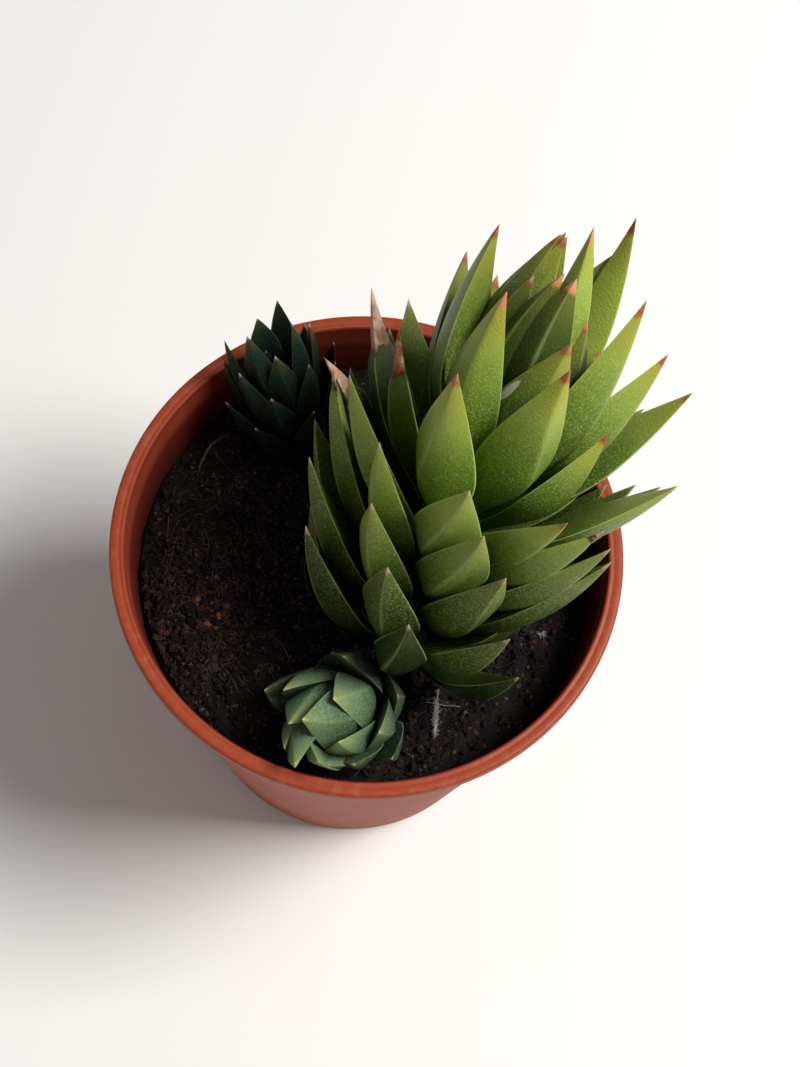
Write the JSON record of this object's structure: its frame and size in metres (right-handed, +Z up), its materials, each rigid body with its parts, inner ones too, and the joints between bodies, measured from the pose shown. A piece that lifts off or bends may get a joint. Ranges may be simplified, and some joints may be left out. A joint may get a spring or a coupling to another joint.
{
  "type": "potted haworthia",
  "caption": "Tall spiralling haworthia with pointed keeled leaves and small offsets, growing in compost in a plain tapered nursery pot",
  "frame": {"origin": "middle of the pot's underside, on the surface it stands on", "axes": "+Z up out of the pot, the viewer of the tall stem's front stands on the -Y side, +X to that viewer's right"},
  "size_m": [0.1104, 0.105, 0.1692],
  "materials": {
    "pot": "smooth moulded plastic, satin on the lip",
    "soil": "damp peat compost, matte and crumbly",
    "leaf_green": "fine pimpled succulent skin, satin",
    "leaf_dark": "dark succulent skin, satin",
    "leaf_blue_green": "succulent skin with pale edges, satin"
  },
  "bodies": {
    "root": {"pot": "pot", "soil": "soil", "plant_main": "leaf_green", "plant_back": "leaf_dark", "plant_front": "leaf_blue_green"}
  },
  "joints": []
}
